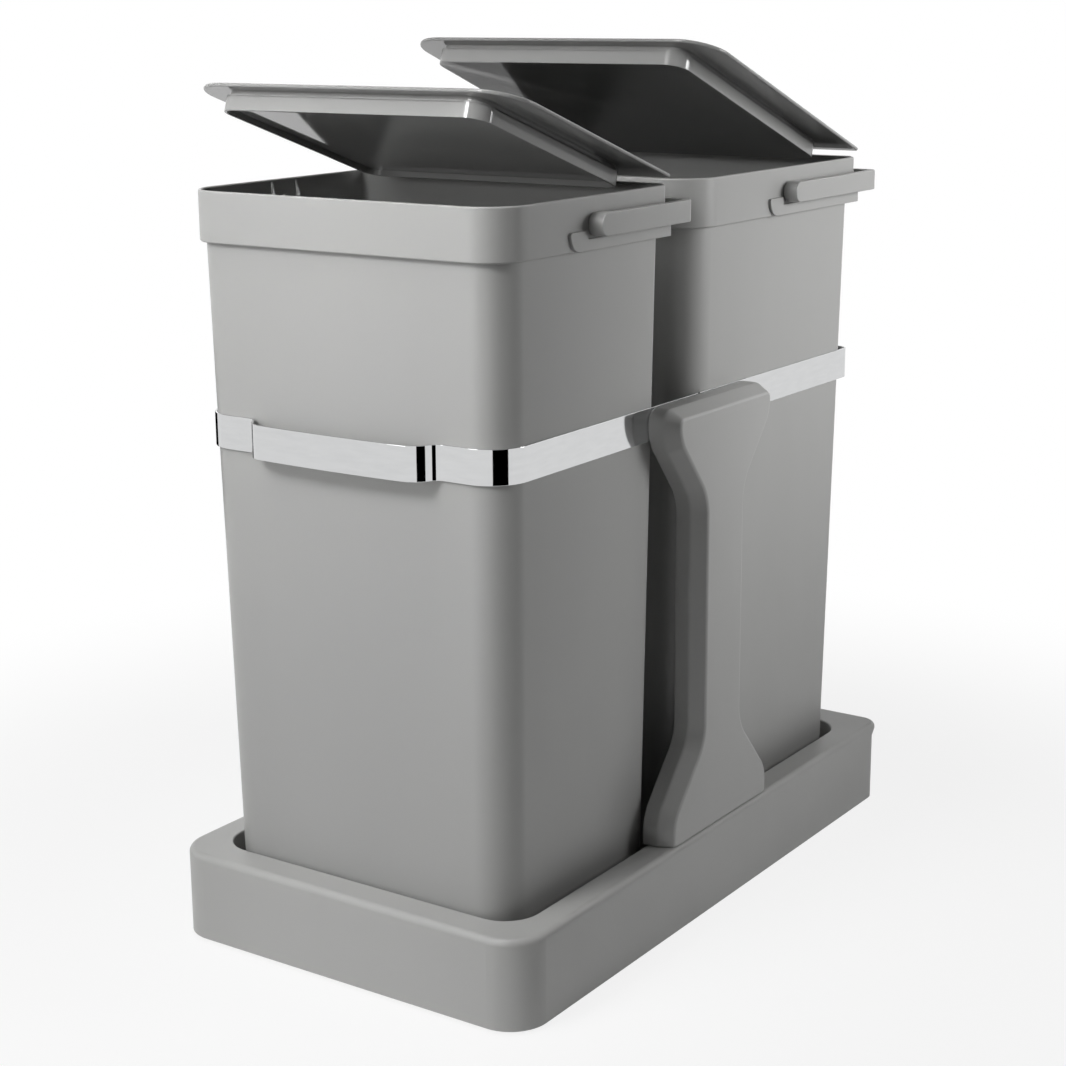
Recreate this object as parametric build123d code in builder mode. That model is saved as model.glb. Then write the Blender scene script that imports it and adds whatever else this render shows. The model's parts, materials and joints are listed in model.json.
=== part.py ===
from build123d import *
import os
from math import hypot, sin, cos, radians

os.makedirs("parts", exist_ok=True)

# A two-bin pull-out waste unit for the floor of a kitchen cabinet. The origin is on the
# cabinet floor under the middle of the unit, +X is right, +Y is the back of the cabinet
# and +Z is up. All sizes are in millimetres.

# ---------------------------------------------------------------- driving dimensions

# Tray
tray_width = 260.0
tray_length = 450.0
tray_height = 55.0
tray_floor_gap = 2.0  # air under the skirt
tray_front_radius = 24.0
tray_rear_radius = 12.0
tray_edge_radius = 4.0
skirt_wall = 2.8
rim_thickness = 3.0
side_rim = 18.5
front_rim = 21.0
rear_rim = 21.0
well_radius = 22.0
well_edge_radius = 1.2
tub_wall = 2.5
tub_floor = 2.5
tub_rise = 4.0  # tub underside above the lower edge of the skirt
rear_lip_reach = 4.0
rear_lip_height = 9.0
rear_lip_slope = 4.5
divider_height = 12.0
divider_width = 120.0
divider_thickness = 2.0
stiffener_thickness = 2.0
stiffener_pitch = 60.0
stiffener_count = 3

# Bins
rear_bin_extra_length = 45.0  # the rear bin is longer than the front one by this
bin_spacing = 32.0
bin_side_gap = 9.0  # between the foot of a bin and the side of the tub
bin_rear_gap = 13.5
bin_height = 448.5
collar_overhang = 7.0  # the front collar stands this far over the front rim
collar_height = 29.5
collar_step = 3.8
collar_wall = 2.2
collar_shelf = 2.2
collar_radius = 25.0
bin_rear_radius = 6.0
bin_draft = 5.7
bin_wall = 2.0
bin_floor = 2.5
bin_foot_radius = 2.5
bin_locating_gap = 0.6  # between a bin and the ribs that divide the tub floor
ledge_height = 6.7
ledge_depth = 1.8
ledge_nose_height = 11.3  # the ledge stands higher in front of the hub of the bail
ledge_nose_radius = 9.6
ledge_corner_radius = 1.5
ledge_reach = 26.0  # from the bail pivot forward to the nose of the ledge
ledge_hub_gap = 1.3
pivot_rib_rim_drop = 1.5  # its tip under the rim
pivot_rib_slope_height = 9.0  # its face leans to the wall over this
pivot_rib_depth = 3.4
pivot_rib_thickness = 1.6
pivot_rib_spacing = 22.0

# Lid hinges
hinge_rise = 4.8  # from the rim up to the axis
hinge_lip_reach = 4.5
hinge_lip_thickness = 3.0
hinge_axis_back = 1.0  # behind the collar
hinge_spacing = 98.0
hinge_width = 26.0
hinge_ear_thickness = 4.0
hinge_eye_radius = 2.8
hinge_pin_radius = 1.5
hinge_play = 0.1
hinge_side_play = 0.5
hinge_tongue_width = 10.0
hinge_notch_depth = 5.0  # from the axis forward

# Lids
front_lid_open = 18.7  # degrees, as it stands
rear_lid_open = 20.5  # degrees, as it stands
lid_thickness = 2.2
lid_front_radius = 25.0
lid_rear_radius = 2.0
lid_rear_reach = 1.4  # behind the hinge axis
neck_height = 2.4
skirt_step = 2.0  # the skirt stands out from its neck by this
skirt_inset = 20.5
skirt_front_shift = 14.5  # the skirt is nearer to the front edge than to the sides
skirt_corner_radius = 12.0
skirt_rear_radius = 10.0
skirt_height = 9.4
lid_skirt_wall = 1.8
skirt_rear_gap = 16.0
panel_inset = 25.5  # the sunken middle
panel_slope = 2.0
panel_drop = 8.4
panel_thickness = 2.2

# Carrying bails
front_pivot_back = 79.0  # from the pivot back to the rear face of the collar
rear_pivot_back = 97.0
pivot_drop = 15.3  # below the bin's rim
bail_height = 13.0
bail_thickness = 4.2
bail_side_gap = 5.8
bail_hub_length = 15.0
bail_hub_gap = 0.3
bail_nose = 7.2
bail_nose_radius = 6.0
bail_corner_radius = 5.0
bail_clearance = 1.2
pin_radius = 3.9
pin_play = 0.1
pin_head_radius = 6.0
pin_head_height = 2.0
pin_grip = 6.0  # how far the pin is held in the bail

# Chrome band and its bowed pull
band_height = 20.0
band_thickness = 1.2
band_bottom = 308.3
band_play = 0.35
band_rear_gap = 9.0
band_rear_radius = 8.0
band_joint_gap = 2.0
pull_width = 116.8
pull_root_width = 131.2
pull_end_stand = 12.8
pull_middle_stand = 14.6
pull_root_radius = 6.0
pull_end_radius = 12.0

# Uprights: a moulded cover over a steel bracket, one on each side
upright_depth = 20.0
upright_foot_half = 63.0
upright_top_half = 60.0
upright_neck_half = 27.0
foot_flare_start = 19.0  # heights above the rim of the tray
foot_flare_end = 60.0
top_flare_start = 60.0  # depths below the top of the upright
top_flare_end = 20.0
upright_top_drop = 0.3  # below the band's upper edge
upright_bevel_depth = 9.5
upright_bevel_inset = 5.5
upright_radius = 9.0
upright_wall = 2.4
bracket_thickness = 2.0
bracket_width = 24.0
bracket_foot_reach = 13.0
bracket_foot_width = 40.0
bracket_top_gap = 0.5
bracket_rib_gap = 0.4
bracket_rib_thickness = 1.8

# Ball-bearing slides
slide_length = 400.0
slide_height = 35.0
slide_thickness = 10.0
slide_rise = 28.0  # centre line above the lower edge of the skirt
outer_sheet = 1.2
middle_sheet = 1.0
inner_sheet = 1.2
cage_sheet = 0.4
web_gap = 0.8
flange_set_back = 2.0
inner_flange_gap = 1.2
ball_radius = 1.5
ball_play = 0.05
ball_hole_play = 0.12
balls_per_row = 8
ball_pitch = 24.0
cage_margin = 5.0
bumper_length = 6.0
bumper_height = 14.0
bumper_gap = 0.2

# Floor rails and ties
rail_thickness = 1.5
rail_height = 46.0
rail_flange = 30.0
rail_hole_radius = 2.25
rail_hole_inset = 19.5  # from the outer face of the rail
rail_hole_pitch = 300.0
tie_width = 30.0
tie_pitch = 200.0
tie_overlap = 26.0
tie_thickness = 1.5

# Fasteners
rivet_radius = 2.0
rivet_head_radius = 3.5
rivet_head_height = 0.8
fastener_play = 0.06
screw_radius = 1.9
screw_head_radius = 3.5
screw_head_height = 1.8
slide_screw_pitch = 150.0
slide_boss_radius = 4.5
slide_boss_length = 4.0
slide_screw_tip = 0.6  # wood and plastic left beyond the screw's end
bracket_screw_pitch = 24.0
bracket_boss_radius = 4.0
bracket_boss_length = 4.6
band_rivet_pitch = 14.0

# ------------------------------------------------------------------- derived values

tray_half = tray_width / 2
tray_front = -tray_length / 2
tray_rear = tray_length / 2
tray_bottom = tray_floor_gap
rim_top = tray_bottom + tray_height
rim_under = rim_top - rim_thickness
skirt_inside = tray_half - skirt_wall
well_half = tray_half - side_rim
well_front = tray_front + front_rim
well_rear = tray_rear - rear_rim
tub_side = well_half + tub_wall
tub_bottom = tray_bottom + tub_rise
well_floor = tub_bottom + tub_floor

bin_floor_inset = collar_step + bin_draft
bin_half = well_half - bin_side_gap + bin_floor_inset
bin_bottom = well_floor
bin_rim = bin_bottom + bin_height
collar_bottom = bin_rim - collar_height
body_radius = collar_radius - collar_step
front_bin_front = well_front - collar_overhang
rear_bin_rear = well_rear - bin_rear_gap + bin_floor_inset
front_bin_length = (rear_bin_rear - front_bin_front - bin_spacing - rear_bin_extra_length) / 2
front_bin_rear = front_bin_front + front_bin_length
rear_bin_front = front_bin_rear + bin_spacing
pivot_z = bin_rim - pivot_drop

hinge_z = bin_rim + hinge_rise

bail_outside = bin_half + bail_side_gap + bail_thickness
bail_inside = bin_half + bail_side_gap

band_top = band_bottom + band_height
upright_top = band_top - upright_top_drop

slide_z = tray_bottom + slide_rise
slide_inside = tub_side
slide_outside = slide_inside + slide_thickness
slide_front = -slide_length / 2
slide_rear = slide_length / 2
slide_travel = slide_length
cage_length = slide_length - slide_travel / 2 - 2 * cage_margin
outer_half = slide_height / 2
outer_ball_rise = outer_half - outer_sheet - ball_play - ball_radius
middle_half = outer_ball_rise - ball_radius - ball_play
inner_ball_rise = middle_half - middle_sheet - ball_play - ball_radius
inner_half = inner_ball_rise - ball_radius - ball_play
flange_edge = slide_inside + flange_set_back
middle_web = slide_outside - outer_sheet - web_gap
inner_flange_edge = middle_web - middle_sheet - inner_flange_gap
ball_x = (flange_edge + inner_flange_edge) / 2
rail_outside = slide_outside + rail_thickness

same_corner = 0.01  # points nearer than this are one corner
bottom_up = (Align.CENTER, Align.CENTER, Align.MIN)
top_down = (Align.CENTER, Align.CENTER, Align.MAX)
sides = (-1, 1)


# -------------------------------------------------------------------------- helpers


def level(height):
    """A horizontal plane at this height."""
    return Plane.XY.offset(height)


def outline(plane, half, front, rear, front_radius, rear_radius):
    """A rectangle seen from above, with its own corner radius at the front and at the back."""
    with BuildSketch(plane) as shape:
        with Locations((0, (front + rear) / 2)):
            Rectangle(2 * half, rear - front)
        fillet(shape.vertices().group_by(Axis.Y)[0], front_radius)
        fillet(shape.vertices().group_by(Axis.Y)[-1], rear_radius)
    return shape.sketch


def sideways(side, x, y, z):
    """A place whose Z axis points away from the middle of the unit, on the chosen side."""
    return Location((side * x, y, z), (0, side * 90, 0))


def row(count, pitch):
    """Positions of a centred row."""
    return [(i - (count - 1) / 2) * pitch for i in range(count)]


def save(piece, name):
    piece.part.label = name
    export_step(piece.part, f"parts/{name}.step")


def save_pair(piece, name):
    """The right-hand piece, and its mirror image on the left."""
    save(piece, name + "_right")
    with BuildPart() as other_hand:
        mirror(piece.part, about=Plane.YZ)
    save(other_hand, name + "_left")


def fasteners(places, shank_radius, shank_length, head_radius, head_height):
    """Separate screws or rivets. Each place is the seat under a head, with Z out of the head."""
    with BuildPart() as group:
        with Locations(*places):
            Cylinder(head_radius, head_height, align=bottom_up)
            Cylinder(shank_radius, shank_length, align=top_down)
    return group


# ----------------------------------------------------------------------------- tray

slide_screw_rows = row(3, slide_screw_pitch)
bracket_screw_rows = row(2, bracket_screw_pitch)


def bin_inset(height):
    """How far the tapered body stands in from the collar at a height."""
    return collar_step + bin_draft * (collar_bottom - height) / (collar_bottom - bin_bottom)


band_inset = bin_inset(band_top)
band_outside = bin_half - band_inset + band_play + band_thickness
band_front = front_bin_front + band_inset - band_play - band_thickness
band_rear = rear_bin_rear - band_inset + band_rear_gap + band_thickness
upright_inside = band_outside
upright_outside = upright_inside + upright_depth
bracket_foot_x = upright_inside + bracket_foot_reach / 2 + bracket_thickness / 2

# The lip along the back of the rim stands out between these two heights.
lip_start = rim_top - rear_lip_height
lip_end = lip_start + rear_lip_slope


def tray_outline(height, inset, lip):
    """The tray seen from above, drawn in by inset, with its back standing out by lip."""
    return outline(
        level(height),
        tray_half - inset,
        tray_front + inset,
        tray_rear - inset + lip,
        tray_front_radius - inset,
        tray_rear_radius - inset,
    )


with BuildPart() as base_tray:
    extrude(tray_outline(tray_bottom, 0, 0), amount=lip_start - tray_bottom)
    loft([tray_outline(lip_start, 0, 0), tray_outline(lip_end, 0, rear_lip_reach)], ruled=True)
    extrude(tray_outline(lip_end, 0, rear_lip_reach), amount=rim_top - lip_end)
    fillet(base_tray.faces().sort_by(Axis.Z)[-1].outer_wire().edges(), tray_edge_radius)
    # Hollow under the rim, with the skirt left standing all round.
    extrude(
        tray_outline(tray_bottom, skirt_wall, 0),
        amount=rim_under - tray_bottom,
        mode=Mode.SUBTRACT,
    )
    # The tub that the bins stand in.
    extrude(
        outline(
            level(tub_bottom),
            tub_side,
            well_front - tub_wall,
            well_rear + tub_wall,
            well_radius + tub_wall,
            well_radius + tub_wall,
        ),
        amount=rim_top - rim_thickness / 2 - tub_bottom,
    )
    # Stiffening webs join the tub to the skirt at the front and at the back.
    web_places = row(stiffener_count, stiffener_pitch)
    for web_front, web_rear in ((tray_front, well_front), (well_rear, tray_rear)):
        with Locations(*[(x, (web_front + web_rear) / 2, tub_bottom) for x in web_places]):
            Box(
                stiffener_thickness,
                web_rear - web_front - skirt_wall,
                rim_under + rim_thickness / 2 - tub_bottom,
                align=bottom_up,
            )
    # Bosses under the rim take the screws of the two brackets.
    with Locations(*[(side * bracket_foot_x, y, rim_under) for side in sides for y in bracket_screw_rows]):
        Cylinder(bracket_boss_radius, bracket_boss_length, align=top_down)
    extrude(
        outline(level(well_floor), well_half, well_front, well_rear, well_radius, well_radius),
        amount=rim_top - well_floor,
        mode=Mode.SUBTRACT,
    )
    fillet(base_tray.faces().sort_by(Axis.Z)[-1].inner_wires().edges(), well_edge_radius)
    # Two low ribs on the tub floor keep the bins apart.
    divider_places = (
        (0, front_bin_rear - bin_floor_inset + bin_locating_gap + divider_thickness / 2, well_floor),
        (0, rear_bin_front + bin_floor_inset - bin_locating_gap - divider_thickness / 2, well_floor),
    )
    with Locations(*divider_places):
        Box(divider_width, divider_thickness, divider_height, align=bottom_up)
    # Bosses inside the tub take the screws of the slides.
    with Locations(
        *[sideways(s, well_half - slide_boss_length, y, slide_z) for s in sides for y in slide_screw_rows]
    ):
        Cylinder(slide_boss_radius, slide_boss_length + tub_wall / 2, align=bottom_up)
    with Locations(
        *[sideways(s, well_half - slide_boss_length, y, slide_z) for s in sides for y in slide_screw_rows]
    ):
        Cylinder(
            screw_radius + fastener_play,
            slide_boss_length + tub_wall,
            align=bottom_up,
            mode=Mode.SUBTRACT,
        )
    with Locations(*[(side * bracket_foot_x, y, rim_top) for side in sides for y in bracket_screw_rows]):
        Cylinder(
            screw_radius + fastener_play,
            rim_thickness + bracket_boss_length,
            align=top_down,
            mode=Mode.SUBTRACT,
        )
    # The back of the skirt is open where the slides and rails pass, and clears the ties.
    opening_depth = tray_rear - (well_rear + tub_wall)
    for side in sides:
        with Locations((side * (tub_side + skirt_inside) / 2, well_rear + tub_wall, tray_bottom)):
            Box(
                skirt_inside - tub_side,
                opening_depth,
                rim_under - tray_bottom,
                align=(Align.CENTER, Align.MIN, Align.MIN),
                mode=Mode.SUBTRACT,
            )
    with Locations((0, well_rear + tub_wall, tray_bottom)):
        Box(
            2 * skirt_inside,
            opening_depth,
            tub_rise,
            align=(Align.CENTER, Align.MIN, Align.MIN),
            mode=Mode.SUBTRACT,
        )
save(base_tray, "base_tray")

# --------------------------------------------------------------------------- slides


def channel(web_face, lip_face, half_height, sheet):
    """A channel section seen along Y, with its web at web_face and open towards lip_face."""
    toward = 1 if lip_face > web_face else -1
    hollow_face = web_face + toward * sheet
    with BuildSketch(Plane.XZ.offset(-slide_rear)) as section:
        with Locations(((web_face + lip_face) / 2, slide_z)):
            Rectangle(abs(lip_face - web_face), 2 * half_height)
        with Locations(((hollow_face + lip_face) / 2, slide_z)):
            Rectangle(abs(lip_face - hollow_face), 2 * (half_height - sheet), mode=Mode.SUBTRACT)
    return section.sketch


with BuildPart() as outer_slide:
    extrude(channel(slide_outside, flange_edge, outer_half, outer_sheet), amount=slide_length)
    extrude(channel(slide_outside, flange_edge, outer_half, outer_sheet), amount=-bumper_length)
    with Locations(*[sideways(1, slide_outside, y, slide_z) for y in slide_screw_rows]):
        Cylinder(rivet_radius + fastener_play, outer_sheet, align=top_down, mode=Mode.SUBTRACT)
save_pair(outer_slide, "outer_slide")

with BuildPart() as middle_slide:
    extrude(channel(middle_web, flange_edge, middle_half, middle_sheet), amount=slide_length)
save_pair(middle_slide, "middle_slide")

with BuildPart() as inner_slide:
    extrude(channel(slide_inside, inner_flange_edge, inner_half, inner_sheet), amount=slide_length)
    with Locations(*[sideways(1, slide_inside, y, slide_z) for y in slide_screw_rows]):
        Cylinder(screw_radius + fastener_play, inner_sheet, align=bottom_up, mode=Mode.SUBTRACT)
save_pair(inner_slide, "inner_slide")


def cage(web_face, ball_rise):
    """A thin channel with a hole round each ball."""
    with BuildPart() as piece:
        extrude(
            channel(web_face, flange_edge + cage_sheet, ball_rise + cage_sheet / 2, cage_sheet),
            amount=slide_length,
        )
        with Locations((web_face, 0, slide_z)):
            Box(slide_thickness * 2, cage_length, slide_height, mode=Mode.INTERSECT)
        with Locations(*[(ball_x, y, slide_z) for y in row(balls_per_row, ball_pitch)]):
            Cylinder(ball_radius + ball_hole_play, slide_height, mode=Mode.SUBTRACT)
    return piece


def balls(ball_rise):
    """The two rows of balls that one cage holds."""
    with BuildPart() as piece:
        ball_places = row(balls_per_row, ball_pitch)
        with Locations(*[(ball_x, y, slide_z + up * ball_rise) for up in sides for y in ball_places]):
            Sphere(ball_radius)
    return piece


cage_middle_gap = (web_gap - cage_sheet) / 2
outer_cage = cage(slide_outside - outer_sheet - cage_middle_gap, outer_ball_rise)
save_pair(outer_cage, "outer_cage")
outer_balls = balls(outer_ball_rise)
save_pair(outer_balls, "outer_balls")
inner_cage = cage(inner_flange_edge + inner_flange_gap / 2 + cage_sheet / 2, inner_ball_rise)
save_pair(inner_cage, "inner_cage")
inner_balls = balls(inner_ball_rise)
save_pair(inner_balls, "inner_balls")

with BuildPart() as slide_bumpers:
    with Locations(
        *[
            (side * (flange_edge + slide_outside - outer_sheet) / 2, slide_rear + bumper_gap, slide_z)
            for side in sides
        ]
    ):
        Box(
            slide_outside - outer_sheet - flange_edge,
            bumper_length - bumper_gap,
            bumper_height,
            align=(Align.CENTER, Align.MIN, Align.CENTER),
        )
save(slide_bumpers, "slide_bumpers")

slide_screws = fasteners(
    [sideways(s, slide_inside + inner_sheet, y, slide_z) for s in sides for y in slide_screw_rows],
    screw_radius,
    inner_sheet + tub_wall + slide_boss_length - slide_screw_tip,
    screw_head_radius,
    screw_head_height,
)
save(slide_screws, "slide_screws")

# ------------------------------------------------------------- floor rails and ties

rail_length = slide_length + bumper_length
rail_middle = bumper_length / 2

with BuildPart() as floor_rail:
    with Locations((slide_outside, rail_middle, 0)):
        Box(rail_thickness, rail_length, rail_height, align=(Align.MIN, Align.CENTER, Align.MIN))
    with Locations((rail_outside, rail_middle, 0)):
        Box(rail_flange, rail_length, rail_thickness, align=(Align.MAX, Align.CENTER, Align.MIN))
    with Locations(*[(rail_outside - rail_hole_inset, y, 0) for y in row(2, rail_hole_pitch)]):
        Cylinder(rail_hole_radius, rail_thickness, align=bottom_up, mode=Mode.SUBTRACT)
    with Locations(*[sideways(1, slide_outside, y, slide_z) for y in slide_screw_rows]):
        Cylinder(rivet_radius + fastener_play, rail_thickness, align=bottom_up, mode=Mode.SUBTRACT)
    with Locations(*[(rail_outside - rail_flange + tie_overlap / 2, y, 0) for y in row(2, tie_pitch)]):
        Cylinder(rivet_radius + fastener_play, rail_thickness, align=bottom_up, mode=Mode.SUBTRACT)
save_pair(floor_rail, "floor_rail")

slide_rivets = fasteners(
    [sideways(s, rail_outside, y, slide_z) for s in sides for y in slide_screw_rows],
    rivet_radius,
    rail_thickness + outer_sheet,
    rivet_head_radius,
    rivet_head_height,
)
save(slide_rivets, "slide_rivets")

tie_half = rail_outside - rail_flange + tie_overlap
tie_rivet_x = rail_outside - rail_flange + tie_overlap / 2

for tie_name, tie_y in zip(("front", "rear"), row(2, tie_pitch)):
    with BuildPart() as floor_tie:
        with Locations((0, tie_y, rail_thickness)):
            Box(2 * tie_half, tie_width, tie_thickness, align=bottom_up)
        with Locations(*[(side * tie_rivet_x, tie_y, rail_thickness) for side in sides]):
            Cylinder(rivet_radius + fastener_play, tie_thickness, align=bottom_up, mode=Mode.SUBTRACT)
    save(floor_tie, f"floor_tie_{tie_name}")

tie_top = rail_thickness + tie_thickness
tie_rivets = fasteners(
    [Location((s * tie_rivet_x, y, tie_top)) for s in sides for y in row(2, tie_pitch)],
    rivet_radius,
    tie_top,
    rivet_head_radius,
    rivet_head_height,
)
save(tie_rivets, "tie_rivets")

# ----------------------------------------------------------- chrome band and its pull

with BuildPart() as band_loop:
    with BuildSketch(level(band_bottom)) as band_plan:
        with Locations((0, (band_front + band_rear) / 2)):
            Rectangle(2 * band_outside, band_rear - band_front)
        fillet(band_plan.vertices().group_by(Axis.Y)[0], body_radius + band_play + band_thickness)
        fillet(band_plan.vertices().group_by(Axis.Y)[-1], band_rear_radius)
        # The pull steps out of the band and bows forward.
        with BuildLine():
            Polyline(
                (-pull_width / 2, band_front - pull_end_stand),
                (-pull_root_width / 2, band_front),
                (pull_root_width / 2, band_front),
                (pull_width / 2, band_front - pull_end_stand),
            )
            ThreePointArc(
                (-pull_width / 2, band_front - pull_end_stand),
                (0, band_front - pull_middle_stand),
                (pull_width / 2, band_front - pull_end_stand),
            )
        make_face()
        root_corners = band_plan.vertices().filter_by(
            lambda v: hypot(abs(v.X) - pull_root_width / 2, v.Y - band_front) < same_corner
        )
        fillet(root_corners, pull_root_radius)
        end_corners = band_plan.vertices().group_by(Axis.Y)[0]
        fillet(end_corners, pull_end_radius)
        offset(amount=-band_thickness, mode=Mode.SUBTRACT)
    extrude(amount=band_height)

band_rivet_z = band_bottom + band_height / 2
for band_name, toward in (("front", -1), ("rear", 1)):
    with BuildPart() as band_half:
        add(band_loop.part)
        with Locations((0, toward * (band_joint_gap / 2 + tray_length), band_rivet_z)):
            Box(2 * tray_width, 2 * tray_length, 2 * band_height, mode=Mode.INTERSECT)
        with Locations(
            *[sideways(s, band_outside, toward * band_rivet_pitch / 2, band_rivet_z) for s in sides]
        ):
            Cylinder(rivet_radius + fastener_play, band_thickness, align=top_down, mode=Mode.SUBTRACT)
    save(band_half, f"{band_name}_band")

band_rivets = fasteners(
    [
        sideways(s, band_outside + bracket_thickness, y, band_rivet_z)
        for s in sides
        for y in row(2, band_rivet_pitch)
    ],
    rivet_radius,
    band_thickness + bracket_thickness,
    rivet_head_radius,
    rivet_head_height,
)
save(band_rivets, "band_rivets")

# ------------------------------------------------------------------------- uprights

bracket_top = upright_top - upright_wall - bracket_top_gap

with BuildPart() as upright_bracket:
    with Locations((upright_inside, 0, rim_top)):
        Box(
            bracket_thickness,
            bracket_width,
            bracket_top - rim_top,
            align=(Align.MIN, Align.CENTER, Align.MIN),
        )
        Box(
            bracket_thickness + bracket_foot_reach,
            bracket_foot_width,
            bracket_thickness,
            align=(Align.MIN, Align.CENTER, Align.MIN),
        )
    with Locations(*[(bracket_foot_x, y, rim_top) for y in bracket_screw_rows]):
        Cylinder(screw_radius + fastener_play, bracket_thickness, align=bottom_up, mode=Mode.SUBTRACT)
    with Locations(*[sideways(1, upright_inside, y, band_rivet_z) for y in row(2, band_rivet_pitch)]):
        Cylinder(rivet_radius + fastener_play, bracket_thickness, align=bottom_up, mode=Mode.SUBTRACT)
save_pair(upright_bracket, "upright_bracket")

bracket_screws = fasteners(
    [
        Location((s * bracket_foot_x, y, rim_top + bracket_thickness))
        for s in sides
        for y in bracket_screw_rows
    ],
    screw_radius,
    bracket_thickness + rim_thickness + bracket_boss_length - slide_screw_tip,
    screw_head_radius,
    screw_head_height,
)
save(bracket_screws, "bracket_screws")


def waisted_plate(x, inset):
    """The waisted outline of an upright in side view, drawn in by inset. It runs below the rim."""
    below = rim_top - upright_depth
    half_shape = (
        (upright_foot_half, below),
        (upright_foot_half, rim_top + foot_flare_start),
        (upright_neck_half, rim_top + foot_flare_end),
        (upright_neck_half, upright_top - top_flare_start),
        (upright_top_half, upright_top - top_flare_end),
        (upright_top_half, upright_top),
    )
    with BuildSketch(Plane.YZ.offset(x)) as plate:
        with BuildLine():
            Polyline(*half_shape, *[(-y, z) for y, z in reversed(half_shape)], close=True)
        make_face()
        fillet(plate.vertices().filter_by(lambda v: v.Y > rim_top), upright_radius)
        if inset:
            offset(amount=-inset, mode=Mode.REPLACE)
    return plate.sketch


with BuildPart() as upright:
    extrude(waisted_plate(upright_inside, 0), amount=upright_depth - upright_bevel_depth)
    loft(
        [
            waisted_plate(upright_outside - upright_bevel_depth, 0),
            waisted_plate(upright_outside, upright_bevel_inset),
        ],
        ruled=True,
    )
    # Hollow behind, open towards the bins.
    extrude(
        waisted_plate(upright_inside, upright_wall),
        amount=upright_depth - upright_bevel_depth,
        mode=Mode.SUBTRACT,
    )
    loft(
        [
            waisted_plate(upright_outside - upright_bevel_depth, upright_wall),
            waisted_plate(upright_outside - upright_wall, upright_wall + upright_bevel_inset),
        ],
        ruled=True,
        mode=Mode.SUBTRACT,
    )
    # Two ribs inside hold the edges of the steel bracket.
    rib_y = bracket_width / 2 + bracket_rib_gap + bracket_rib_thickness / 2
    rib_bottom = rim_top + foot_flare_end
    rib_top = upright_top - top_flare_start
    with Locations(*[(upright_inside, y, rib_bottom) for y in (-rib_y, rib_y)]):
        Box(
            upright_depth - upright_wall / 2,
            bracket_rib_thickness,
            rib_top - rib_bottom,
            align=(Align.MIN, Align.CENTER, Align.MIN),
        )
    split(bisect_by=level(rim_top), keep=Keep.TOP)
save_pair(upright, "upright")

# ----------------------------------------------------------------------------- bins

hinge_centres = row(2, hinge_spacing)


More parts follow.
